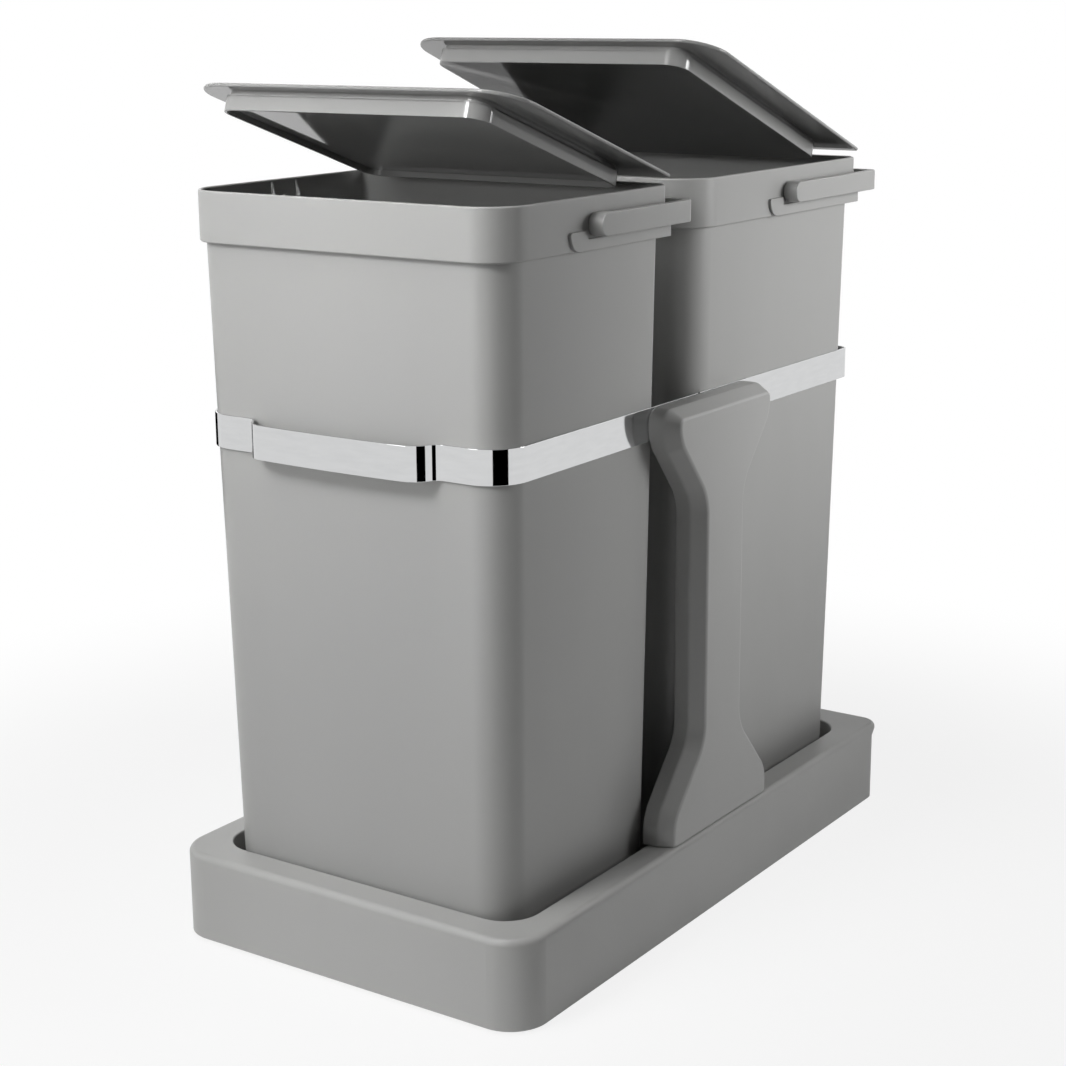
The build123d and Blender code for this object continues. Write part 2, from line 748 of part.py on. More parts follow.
def make_bin(front, rear, pivot_y):
    """A tapered bin with its collar, bail ledges and hinge ears."""
    hinge_y = rear + hinge_axis_back

    def body_outline(height, wall):
        inset = bin_inset(height) + wall
        return outline(
            level(height),
            bin_half - inset,
            front + inset,
            rear - inset,
            body_radius - wall,
            bin_rear_radius - wall,
        )

    with BuildPart() as piece:
        loft([body_outline(bin_bottom, 0), body_outline(collar_bottom, 0)])
        fillet(piece.faces().sort_by(Axis.Z)[0].edges(), bin_foot_radius)
        extrude(
            outline(level(collar_bottom), bin_half, front, rear, collar_radius, bin_rear_radius),
            amount=collar_height,
        )
        # A ledge on each side carries the hub of the folded bail and reaches round its front.
        nose_front = pivot_y - ledge_reach
        nose_back = pivot_y - bail_nose - ledge_hub_gap
        nose_top = collar_bottom + ledge_nose_height
        for side in sides:
            with BuildSketch(Plane.YZ.offset(side * (bin_half - collar_wall / 2))) as ledge:
                with BuildLine():
                    Polyline(
                        (nose_front, collar_bottom),
                        (rear, collar_bottom),
                        (rear, collar_bottom + ledge_height),
                        (nose_back, collar_bottom + ledge_height),
                        (nose_back, nose_top),
                        (nose_front, nose_top),
                        close=True,
                    )
                make_face()
                # In this view X runs to the back of the unit and Y upwards.
                front_corners = ledge.vertices().group_by(Axis.X)[0].sort_by(Axis.Y)
                fillet(front_corners[0], ledge_nose_radius)
                front_top = ledge.vertices().group_by(Axis.Y)[-1]
                fillet(front_top, ledge_corner_radius)
            extrude(amount=side * (ledge_depth + collar_wall / 2))
        # The lip behind the rim and the hinge ears on it.
        with Locations((0, rear, bin_rim)):
            Box(
                2 * (bin_half - bin_rear_radius),
                2 * hinge_lip_reach,
                hinge_lip_thickness,
                align=top_down,
            )
        for centre in hinge_centres:
            ear_centre = hinge_width / 2 - hinge_side_play - hinge_ear_thickness / 2
            for ear_x in (centre - ear_centre, centre + ear_centre):
                with Locations(Location((ear_x, hinge_y, hinge_z), (0, 90, 0))):
                    Cylinder(hinge_eye_radius, hinge_ear_thickness)
                with Locations((ear_x, hinge_y, hinge_z)):
                    Box(
                        hinge_ear_thickness,
                        2 * hinge_eye_radius,
                        hinge_z - bin_rim + hinge_lip_thickness / 2,
                        align=top_down,
                    )
                with Locations(Location((ear_x, hinge_y, hinge_z), (0, 90, 0))):
                    Cylinder(
                        hinge_pin_radius + fastener_play,
                        2 * hinge_ear_thickness,
                        mode=Mode.SUBTRACT,
                    )
        # Hollow, with a shelf where the wall steps out to the collar.
        shelf = collar_bottom + collar_shelf
        loft(
            [body_outline(bin_bottom + bin_floor, bin_wall), body_outline(shelf, bin_wall)],
            mode=Mode.SUBTRACT,
        )
        extrude(
            outline(
                level(shelf),
                bin_half - collar_wall,
                front + collar_wall,
                rear - collar_wall,
                collar_radius - collar_wall,
                bin_rear_radius - collar_wall,
            ),
            amount=bin_rim - shelf,
            mode=Mode.SUBTRACT,
        )
        # Ribs beside each bail pivot, which taper off under the rim, and the pivot hole.
        rib_foot = bin_half - collar_wall / 2
        rib_face = bin_half - collar_wall - pivot_rib_depth
        rib_tip = bin_rim - pivot_rib_rim_drop
        for side in sides:
            for y in row(2, pivot_rib_spacing):
                near_face = pivot_y + y - pivot_rib_thickness / 2
                with BuildSketch(Plane.XZ.offset(-near_face)):
                    with BuildLine():
                        Polyline(
                            (side * rib_foot, shelf),
                            (side * rib_face, shelf),
                            (side * rib_face, rib_tip - pivot_rib_slope_height),
                            (side * (bin_half - collar_wall), rib_tip),
                            (side * rib_foot, rib_tip),
                            close=True,
                        )
                    make_face()
                extrude(amount=-pivot_rib_thickness)
        with Locations(*[sideways(s, bin_half, pivot_y, pivot_z) for s in sides]):
            Cylinder(pin_radius + pin_play, 2 * collar_wall, mode=Mode.SUBTRACT)
    return piece


def make_hinge_pins(rear):
    """The two steel pins of a lid."""
    with BuildPart() as piece:
        with Locations(
            *[Location((x, rear + hinge_axis_back, hinge_z), (0, 90, 0)) for x in hinge_centres]
        ):
            Cylinder(hinge_pin_radius, hinge_width - 2 * hinge_side_play)
    return piece


# ----------------------------------------------------------------------------- lids


def make_lid(front, rear, open_angle):
    """A lid that stands open by open_angle. Its plane passes through the hinge axis."""
    lean = radians(open_angle)
    hinge = Plane(
        origin=(0, rear + hinge_axis_back, hinge_z),
        x_dir=(1, 0, 0),
        z_dir=(0, sin(lean), cos(lean)),
    )
    top = lid_thickness / 2
    bottom = -lid_thickness / 2
    lid_front = front - rear - hinge_axis_back

    def under(height, inset):
        """The outline of what hangs under the flange, set in from its sides by a length."""
        inward = inset - skirt_inset
        return outline(
            hinge.offset(height),
            bin_half - inset,
            lid_front + inset - skirt_front_shift,
            -skirt_rear_gap - inward,
            skirt_corner_radius - inward,
            skirt_rear_radius - inward,
        )

    def ring(height, inset, wall, depth):
        """A wall that hangs under the lid all round."""
        extrude(under(height, inset) - under(height, inset + wall), amount=-depth)

    with BuildPart() as piece:
        extrude(
            outline(
                hinge.offset(bottom),
                bin_half,
                lid_front,
                lid_rear_reach,
                lid_front_radius,
                lid_rear_radius,
            ),
            amount=lid_thickness,
        )
        # The skirt hangs on a narrower neck and steps out from it.
        shelf = bottom - neck_height
        ring(bottom, skirt_inset + skirt_step, lid_skirt_wall, neck_height + lid_skirt_wall)
        ring(shelf, skirt_inset, skirt_step + lid_skirt_wall, lid_skirt_wall)
        ring(shelf, skirt_inset, lid_skirt_wall, skirt_height)
        # The middle of the lid is sunk between them, with sloping sides.
        extrude(under(bottom, skirt_inset + skirt_step), amount=-panel_drop)
        panel_floor = bottom - panel_drop + panel_thickness
        loft(
            [under(panel_floor, panel_inset + panel_slope), under(top, panel_inset)],
            mode=Mode.SUBTRACT,
        )
        # Notches round the ears of the bin, each with a tongue that turns on the pin.
        for centre in hinge_centres:
            with BuildSketch(hinge.offset(bottom)):
                with Locations((centre, -hinge_notch_depth)):
                    Rectangle(
                        hinge_width,
                        hinge_notch_depth + lid_rear_reach,
                        align=(Align.CENTER, Align.MIN),
                    )
            extrude(amount=lid_thickness, mode=Mode.SUBTRACT)
            with BuildSketch(hinge.offset(bottom)):
                with Locations((centre, -hinge_notch_depth)):
                    Rectangle(hinge_tongue_width, hinge_notch_depth, align=(Align.CENTER, Align.MIN))
            extrude(amount=lid_thickness)
            eye_plane = Plane(
                origin=hinge.from_local_coords((centre - hinge_tongue_width / 2, 0, 0)),
                x_dir=hinge.y_dir,
                z_dir=(1, 0, 0),
            )
            with BuildSketch(eye_plane):
                Circle(hinge_eye_radius)
            extrude(amount=hinge_tongue_width)
            with BuildSketch(eye_plane):
                Circle(hinge_pin_radius + hinge_play)
            extrude(amount=hinge_tongue_width, mode=Mode.SUBTRACT)
    return piece


# ---------------------------------------------------------------------------- bails


def make_bail(rear, pivot_y):
    """A carrying bail folded back round the collar."""
    pivot_back = rear - pivot_y
    # The crossbar swings clear of the lip, the hinge eyes and the closed lid.
    lip_swing = hypot(pivot_back + hinge_lip_reach, bin_rim - pivot_z)
    eye_swing = hypot(pivot_back + hinge_axis_back, hinge_z - pivot_z) + hinge_eye_radius
    lid_swing = hypot(pivot_back + hinge_axis_back + lid_rear_reach, hinge_z + lid_thickness / 2 - pivot_z)
    bar_inside = pivot_y + max(lip_swing, eye_swing, lid_swing) + bail_clearance
    bar_outside = bar_inside + bail_thickness
    nose_y = pivot_y - bail_nose
    with BuildPart() as piece:
        extrude(
            outline(
                level(pivot_z - bail_height / 2),
                bail_outside,
                nose_y,
                bar_outside,
                bail_thickness / 2,
                bail_corner_radius,
            ),
            amount=bail_height,
        )
        extrude(
            outline(
                level(pivot_z - bail_height / 2),
                bail_inside,
                nose_y - bail_nose,
                bar_inside,
                bail_corner_radius - bail_thickness / 2,
                bail_corner_radius - bail_thickness / 2,
            ),
            amount=bail_height,
            mode=Mode.SUBTRACT,
        )
        hub_inside = bin_half + bail_hub_gap
        with Locations(
            *[
                (side * (hub_inside + bail_outside) / 2, nose_y + bail_hub_length / 2, pivot_z)
                for side in sides
            ]
        ):
            Box(bail_outside - hub_inside, bail_hub_length, bail_height)
        noses = piece.edges().filter_by(Axis.X).group_by(Axis.Y)[0]
        fillet(noses, bail_nose_radius)
        with Locations(*[sideways(s, hub_inside, pivot_y, pivot_z) for s in sides]):
            Cylinder(pin_radius + fastener_play, pin_grip, align=bottom_up, mode=Mode.SUBTRACT)
    return piece


def make_bail_pins(pivot_y):
    """The two headed pins of a bail: the heads are inside the collar."""
    head_seat = bin_half - collar_wall - pin_play
    with BuildPart() as piece:
        with Locations(*[sideways(s, head_seat, pivot_y, pivot_z) for s in sides]):
            Cylinder(pin_head_radius, pin_head_height, align=top_down)
            Cylinder(pin_radius, bin_half + bail_hub_gap + pin_grip - head_seat, align=bottom_up)
    return piece


for bin_name, bin_front, bin_rear, pivot_back, lid_angle in (
    ("front", front_bin_front, front_bin_rear, front_pivot_back, front_lid_open),
    ("rear", rear_bin_front, rear_bin_rear, rear_pivot_back, rear_lid_open),
):
    bin_pivot_y = bin_rear - pivot_back
    save(make_bin(bin_front, bin_rear, bin_pivot_y), f"{bin_name}_bin")
    save(make_hinge_pins(bin_rear), f"{bin_name}_hinge_pins")
    save(make_lid(bin_front, bin_rear, lid_angle), f"{bin_name}_lid")
    save(make_bail(bin_rear, bin_pivot_y), f"{bin_name}_bail")
    save(make_bail_pins(bin_pivot_y), f"{bin_name}_bail_pins")
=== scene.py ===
"""A two-bin pull-out waste unit for a kitchen cabinet: its moulded, chromed and steel surfaces."""

import json
from math import cos, hypot, radians, sin

import bmesh
import bpy
from mathutils import Matrix, Vector


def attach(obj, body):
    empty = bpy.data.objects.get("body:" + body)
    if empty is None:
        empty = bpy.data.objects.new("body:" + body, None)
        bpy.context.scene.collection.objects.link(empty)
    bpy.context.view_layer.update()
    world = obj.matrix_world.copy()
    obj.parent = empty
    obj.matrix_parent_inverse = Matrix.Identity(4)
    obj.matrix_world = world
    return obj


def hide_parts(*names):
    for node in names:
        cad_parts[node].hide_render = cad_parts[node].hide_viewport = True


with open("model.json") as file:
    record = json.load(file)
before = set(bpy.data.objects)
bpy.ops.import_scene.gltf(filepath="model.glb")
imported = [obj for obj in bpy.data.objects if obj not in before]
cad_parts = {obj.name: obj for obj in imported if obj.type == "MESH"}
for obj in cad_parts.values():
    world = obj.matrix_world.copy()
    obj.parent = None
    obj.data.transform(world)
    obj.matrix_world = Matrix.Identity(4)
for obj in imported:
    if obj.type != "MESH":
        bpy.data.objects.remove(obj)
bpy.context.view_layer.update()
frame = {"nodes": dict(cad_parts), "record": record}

# ------------------------------------------------------------------------------ sizes
# Millimetres: X to the right, Y to the back, Z up.

RIM_TOP = 57.0  # the flat rim of the tray

# The tapered bins and their stepped collar.
BIN_HALF = 112.0
BIN_BOTTOM = 8.5
BIN_RIM = 457.0
BIN_DRAFT = 5.7
BIN_WALL = 2.0
BIN_FLOOR = 2.5
REAR_RADIUS = 6.0
COLLAR_BOTTOM = 427.5
COLLAR_STEP = 3.8
COLLAR_RADIUS = 25.0
COLLAR_WALL = 2.2
SHELF = 2.2

# The ledge on each side of the collar, measured from the bail's pivot and from the collar's foot.
LEDGE_STAND = 1.8
LEDGE_HEIGHT = 6.7
NOSE_REACH = 26.0
NOSE_HEIGHT = 11.3
HUB_REACH = 8.5

# The two ribs beside each pivot, inside the collar.
RIB_SPACING = 22.0
RIB_THICKNESS = 1.6
RIB_DEPTH = 3.4
RIB_RIM_DROP = 1.5
RIB_SLOPE = 9.0

# The hinges: a lip behind the rim, ears on the lip and tongues on the lid.
LIP_HALF = 106.0
LIP_REACH = 4.5
LIP_THICKNESS = 3.0
HINGE_HEIGHT = 461.8
HINGE_BACK = 1.0
HINGE_CENTRES = (-49.0, 49.0)
HINGE_WIDTH = 26.0
HINGE_PLAY = 0.5
EAR_WIDTH = 4.0
EYE_RADIUS = 2.8
TONGUE_WIDTH = 10.0
TONGUE_REACH = 6.5

# The lids: a flange, a stepped skirt under it and a sunken middle.
LID_THICKNESS = 2.2
LID_EDGE = 0.9
LID_BEHIND_HINGE = 1.4
LID_REAR_RADIUS = 2.0
NECK_HEIGHT = 2.4
SKIRT_STEP = 2.0
SKIRT_INSET = 20.5
SKIRT_WALL = 1.8
SKIRT_HEIGHT = 9.4
SKIRT_FRONT_SHIFT = 14.5
SKIRT_REAR_GAP = 16.0
SKIRT_CORNER_RADIUS = 12.0
SKIRT_REAR_RADIUS = 10.0
PANEL_INSET = 25.5
PANEL_DROP = 8.4

# The bails. The front edge of a hub is a reach ahead of the pivot.
PIVOT_HEIGHT = 441.7
BAIL_INSIDE = 117.8
BAIL_OUTSIDE = 122.0
BAIL_HEIGHT = 13.0
BAIL_HUB_FACE = 112.3
BAIL_HUB_REACH = 7.2
BAIL_HUB_LENGTH = 15.0
BAIL_CLEARANCE = 1.2

# The band. A bend is the length that its rounding takes off each side of the corner.
BAND_BOTTOM = 308.3
BAND_HEIGHT = 20.0
BAND_THICKNESS = 1.2
BAND_OUTSIDE = 108.4
BAND_FRONT_STAND = 1.55
BAND_REAR_STAND = 10.2
BAND_FRONT_BEND = 22.75
BAND_REAR_BEND = 8.0
BAND_JOINT = 2.0
PULL_HALF = 58.4
PULL_ROOT_HALF = 65.6
PULL_END_STAND = 12.8
PULL_MIDDLE_STAND = 14.6
PULL_ROOT_BEND = 3.5
PULL_END_BEND = 7.5

# The uprights: half widths, and heights over the tray's rim or under the top.
UPRIGHT_FOOT = 63.0
UPRIGHT_NECK = 27.0
UPRIGHT_HEAD = 60.0
UPRIGHT_FOOT_HEIGHT = 19.0
UPRIGHT_HEAD_HEIGHT = 20.0
UPRIGHT_NECK_FROM_END = 60.0
UPRIGHT_BEND = 9.0
UPRIGHT_DEPTH = 20.0
UPRIGHT_BEVEL = 9.5
UPRIGHT_BEVEL_INSET = 5.5
UPRIGHT_WALL = 2.4
UPRIGHT_ROUNDING = 1.6

# Each bin: its collar's front and rear, the pivot of its bail, how far its lid stands open.
BINS = {
    "front": (-211.0, -44.0, -123.0, 18.7),
    "rear": (-12.0, 200.0, 103.0, 20.5),
}


def bin_inset(height):
    """How far the tapered body stands in from the collar at a height."""
    return COLLAR_STEP + BIN_DRAFT * (COLLAR_BOTTOM - height) / (COLLAR_BOTTOM - BIN_BOTTOM)


# -------------------------------------------------------------------------- materials


def new_material(name):
    """A material with its Principled shader and the object coordinates that its patterns read."""
    material = bpy.data.materials.new(name)
    material.use_nodes = True
    tree = material.node_tree
    shader = tree.nodes["Principled BSDF"]
    place = tree.nodes.new("ShaderNodeTexCoord").outputs["Object"]
    return material, tree, shader, place


def noise(tree, place, scale, detail=2.0, stretch=(1.0, 1.0, 1.0), shift=0.0):
    """A noise pattern. Its scale is in waves per metre."""
    mapping = tree.nodes.new("ShaderNodeMapping")
    mapping.inputs["Scale"].default_value = stretch
    mapping.inputs["Location"].default_value = (shift, shift / 2, shift / 3)
    texture = tree.nodes.new("ShaderNodeTexNoise")
    texture.inputs["Scale"].default_value = scale
    texture.inputs["Detail"].default_value = detail
    tree.links.new(place, mapping.inputs["Vector"])
    tree.links.new(mapping.outputs["Vector"], texture.inputs["Vector"])
    return texture.outputs["Fac"]


def spread(tree, value, low, high):
    """Stretches the middle of a noise pattern over a range."""
    reach = tree.nodes.new("ShaderNodeMapRange")
    reach.inputs["From Min"].default_value = 0.3
    reach.inputs["From Max"].default_value = 0.7
    reach.inputs["To Min"].default_value = low
    reach.inputs["To Max"].default_value = high
    tree.links.new(value, reach.inputs["Value"])
    return reach.outputs["Result"]


def tint(tree, shader, value, dark, light):
    """Colours the surface between two shades along a pattern."""
    ramp = tree.nodes.new("ShaderNodeValToRGB")
    ramp.color_ramp.elements[0].position = 0.3
    ramp.color_ramp.elements[1].position = 0.7
    ramp.color_ramp.elements[0].color = (*dark, 1.0)
    ramp.color_ramp.elements[1].color = (*light, 1.0)
    tree.links.new(value, ramp.inputs["Fac"])
    tree.links.new(ramp.outputs["Color"], shader.inputs["Base Color"])


def relief(tree, shader, layers):
    """Bumps laid one over another. A layer is (pattern, strength, height in metres)."""
    below = None
    for value, strength, height in layers:
        bump = tree.nodes.new("ShaderNodeBump")
        bump.inputs["Strength"].default_value = strength
        bump.inputs["Distance"].default_value = height
        tree.links.new(value, bump.inputs["Height"])
        if below:
            tree.links.new(below, bump.inputs["Normal"])
        below = bump.outputs["Normal"]
    tree.links.new(below, shader.inputs["Normal"])


def moulded_plastic(name, shade, roughness, grain, waves, shift):
    """Satin polypropylene: spark-eroded grain, faint flow marks down the draw, slight shade changes."""
    material, tree, shader, place = new_material(name)
    flow = noise(tree, place, 7.0, 3.0, (1.0, 1.0, 0.25), shift)
    dark = tuple(c * 0.965 for c in shade)
    light = tuple(min(c * 1.035, 1.0) for c in shade)
    tint(tree, shader, flow, dark, light)
    patches = noise(tree, place, 38.0, 4.0, (1.0, 1.0, 0.6), shift + 5.0)
    tree.links.new(spread(tree, patches, roughness - 0.03, roughness + 0.04), shader.inputs["Roughness"])
    shader.inputs["IOR"].default_value = 1.49
    fine = noise(tree, place, 1500.0, 2.0, shift=shift)
    broad = noise(tree, place, 24.0, 1.0, (1.0, 1.0, 0.3), shift)
    relief(tree, shader, [(broad, waves, 0.0006), (fine, grain, 0.00005)])
    return material


def chrome_plate(name):
    """Bright chrome on rolled steel strip: nearly a mirror, with slight waves and wiping marks."""
    material, tree, shader, place = new_material(name)
    shader.inputs["Metallic"].default_value = 1.0
    wiping = noise(tree, place, 55.0, 4.0, (1.0, 1.0, 5.0))
    tint(tree, shader, wiping, (0.60, 0.605, 0.61), (0.63, 0.635, 0.64))
    tree.links.new(spread(tree, wiping, 0.045, 0.075), shader.inputs["Roughness"])
    waves = noise(tree, place, 16.0, 1.0, (1.0, 1.0, 0.4))
    relief(tree, shader, [(waves, 0.08, 0.0003)])
    return material


def plated_steel(name, dark, light, roughness, spangle):
    """Zinc-plated steel with a cloudy, spangled skin and drawing marks."""
    material, tree, shader, place = new_material(name)
    shader.inputs["Metallic"].default_value = 1.0
    cells = tree.nodes.new("ShaderNodeTexVoronoi")
    cells.inputs["Scale"].default_value = spangle
    tree.links.new(place, cells.inputs["Vector"])
    tint(tree, shader, cells.outputs["Color"], dark, light)
    cloud = noise(tree, place, 90.0, 4.0, (1.0, 0.15, 1.0))
    tree.links.new(spread(tree, cloud, roughness - 0.07, roughness + 0.09), shader.inputs["Roughness"])
    marks = noise(tree, place, 900.0, 2.0, (1.0, 0.04, 1.0))
    relief(tree, shader, [(marks, 0.2, 0.00004)])
    return material


def moulded_rubber(name):
    """Dull black rubber with a dusty bloom."""
    material, tree, shader, place = new_material(name)
    tint(tree, shader, noise(tree, place, 120.0, 4.0), (0.018, 0.018, 0.018), (0.034, 0.034, 0.033))
    bloom = noise(tree, place, 60.0, 3.0)
    tree.links.new(spread(tree, bloom, 0.68, 0.86), shader.inputs["Roughness"])
    relief(tree, shader, [(noise(tree, place, 1100.0, 3.0), 0.4, 0.00008)])
    return material


FINISHES = {
    "tray_plastic": moulded_plastic("tray_plastic", (0.43, 0.43, 0.422), 0.42, 0.35, 0.12, 1.0),
    "upright_plastic": moulded_plastic("upright_plastic", (0.40, 0.40, 0.393), 0.40, 0.35, 0.12, 2.0),
    "bin_plastic": moulded_plastic("bin_plastic", (0.37, 0.37, 0.363), 0.38, 0.30, 0.15, 3.0),
    "lid_plastic": moulded_plastic("lid_plastic", (0.30, 0.30, 0.295), 0.05, 0.0, 0.0, 4.0),
    "bail_plastic": moulded_plastic("bail_plastic", (0.38, 0.38, 0.373), 0.36, 0.25, 0.1, 5.0),
    "chrome": chrome_plate("chrome"),
    "zinc_steel": plated_steel("zinc_steel", (0.55, 0.56, 0.57), (0.68, 0.69, 0.70), 0.34, 160.0),
    "fastener_steel": plated_steel("fastener_steel", (0.60, 0.60, 0.60), (0.70, 0.70, 0.70), 0.28, 500.0),
    "ball_steel": plated_steel("ball_steel", (0.72, 0.72, 0.73), (0.78, 0.78, 0.79), 0.14, 700.0),
    "rubber": moulded_rubber("rubber"),
}

node_slot = {part["node"]: part["material_slot"] for part in frame["record"]["subparts"]}
node_body = {node: body for body, nodes in frame["record"]["behaviour"]["bodies"].items() for node in nodes}
for node, solid in frame["nodes"].items():
    solid.data.materials.clear()
    solid.data.materials.append(FINISHES[node_slot[node]])

# --------------------------------------------------------------------- ways of making


def redraw(points, here, there):
    """Carries a ring of points from one level to the next. Every corner keeps its angles."""
    _, half, front, rear, front_radius, rear_radius = here
    height, to_half, to_front, to_rear, to_front_radius, to_rear_radius = there
    for point in points:
        side = 1 if point.co.x > 0 else -1
        if point.co.y < (front + rear) / 2:
            centre = Vector((side * (half - front_radius), front + front_radius))
            to_centre = Vector((side * (to_half - to_front_radius), to_front + to_front_radius))
            growth = to_front_radius / front_radius
        else:
            centre = Vector((side * (half - rear_radius), rear - rear_radius))
            to_centre = Vector((side * (to_half - to_rear_radius), to_rear - to_rear_radius))
            growth = to_rear_radius / rear_radius
        x, y = to_centre + (point.co.xy - centre) * growth
        point.co = (x, y, height)


def skin(levels, segments=8):
    """A closed skin that is a rounded rectangle at every level. A level is (height, half width,
    front, rear, front radius, rear radius)."""
    bm = bmesh.new()
    height, half, front, rear, front_radius, rear_radius = levels[0]
    places = ((-half, front), (half, front), (half, rear), (-half, rear))
    corners = [bm.verts.new((x, y, height)) for x, y in places]
    bm.faces.new(corners)
    for pair, radius in ((corners[:2], front_radius), (corners[2:], rear_radius)):
        bmesh.ops.bevel(
            bm, geom=pair, offset=radius, segments=segments, profile=0.5, affect="VERTICES", material=-1
        )
    ring = list(bm.edges)
    for here, there in zip(levels, levels[1:]):
        drawn = bmesh.ops.extrude_edge_only(bm, edges=ring)["geom"]
        points = {item for item in drawn if isinstance(item, bmesh.types.BMVert)}
        edges = [item for item in drawn if isinstance(item, bmesh.types.BMEdge)]
        ring = [edge for edge in edges if points.issuperset(edge.verts)]
        redraw(points, here, there)
    bmesh.ops.edgeloop_fill(bm, edges=ring)
    bmesh.ops.recalc_face_normals(bm, faces=bm.faces)
    return bm


def round_off(bm, chosen, radius, segments):
    """Rounds the chosen edges."""
    edges = [edge for edge in bm.edges if len(edge.link_faces) == 2 and chosen(edge)]
    bmesh.ops.bevel(
        bm, geom=edges, offset=radius, segments=segments, profile=0.5, affect="EDGES", material=-1
    )


def soften(bm, radius, segments=2):
    """Rounds every edge that is still sharp."""
    round_off(bm, lambda edge: edge.calc_face_angle() > radians(35), radius, segments)


def middle(edge):
    """The middle of an edge."""
    return (edge.verts[0].co + edge.verts[1].co) / 2


def runs_along(edge, axis):
    """True if an edge runs along an axis: 0 is X, 1 is Y and 2 is Z."""
    run = (edge.verts[1].co - edge.verts[0].co).normalized()
    return abs(run[axis]) > 0.99


def prism(corners, along):
    """A flat outline drawn out along a vector. Each corner is (point, radius)."""
    bm = bmesh.new()
    points = [bm.verts.new(point) for point, _ in corners]
    bm.faces.new(points)
    for point, (_, radius) in zip(points, corners):
        if radius:
            bmesh.ops.bevel(
                bm, geom=[point], offset=radius, segments=6, profile=0.5, affect="VERTICES", material=-1
            )
    drawn = bmesh.ops.extrude_face_region(bm, geom=list(bm.faces), use_keep_orig=True)["geom"]
    points = [item for item in drawn if isinstance(item, bmesh.types.BMVert)]
    bmesh.ops.translate(bm, vec=along, verts=points)
    bmesh.ops.recalc_face_normals(bm, faces=bm.faces)
    return bm


def block(low, high):
    """A plain block between two corners."""
    bm = bmesh.new()
    bmesh.ops.create_cube(bm, size=1.0)
    size = [b - a for a, b in zip(low, high)]
    bmesh.ops.scale(bm, vec=size, verts=bm.verts)
    bmesh.ops.translate(bm, vec=[(a + b) / 2 for a, b in zip(low, high)], verts=bm.verts)
    return bm


def barrel(centre, radius, length, segments=24):
    """A round barrel along X."""
    bm = bmesh.new()
    bmesh.ops.create_cone(
        bm, cap_ends=True, segments=segments, radius1=radius, radius2=radius, depth=length
    )
    bmesh.ops.rotate(bm, matrix=Matrix.Rotation(radians(90), 3, "Y"), verts=bm.verts)
    bmesh.ops.translate(bm, vec=centre, verts=bm.verts)
    return bm


def joined(bm, *others):
    """Puts other forms into a form."""
    for other in others:
        passing = bpy.data.meshes.new("passing")
        other.to_mesh(passing)
        other.free()
        bm.from_mesh(passing)
        bpy.data.meshes.remove(passing)
    return bm


def finished(name, bm, node, smooth=38):
    """Makes a form into the piece that stands for a node of the same body and finish."""
    bmesh.ops.scale(bm, vec=(0.001, 0.001, 0.001), verts=bm.verts)
    mesh = bpy.data.meshes.new(name)
    bm.to_mesh(mesh)
    bm.free()
    mesh.materials.append(FINISHES[node_slot[node]])
    mesh.shade_smooth()
    mesh.set_sharp_from_angle(angle=radians(smooth))
    piece = bpy.data.objects.new(name, mesh)
    bpy.context.scene.collection.objects.link(piece)
    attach(piece, node_body[node])
    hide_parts(node)
    return piece


def evened(piece):
    """Keeps flat faces flat in the light beside rounded edges."""
    even = piece.modifiers.new("even light", "WEIGHTED_NORMAL")
    even.keep_sharp = True
    even.weight = 60
    return piece


# ------------------------------------------------------------------------------- bins


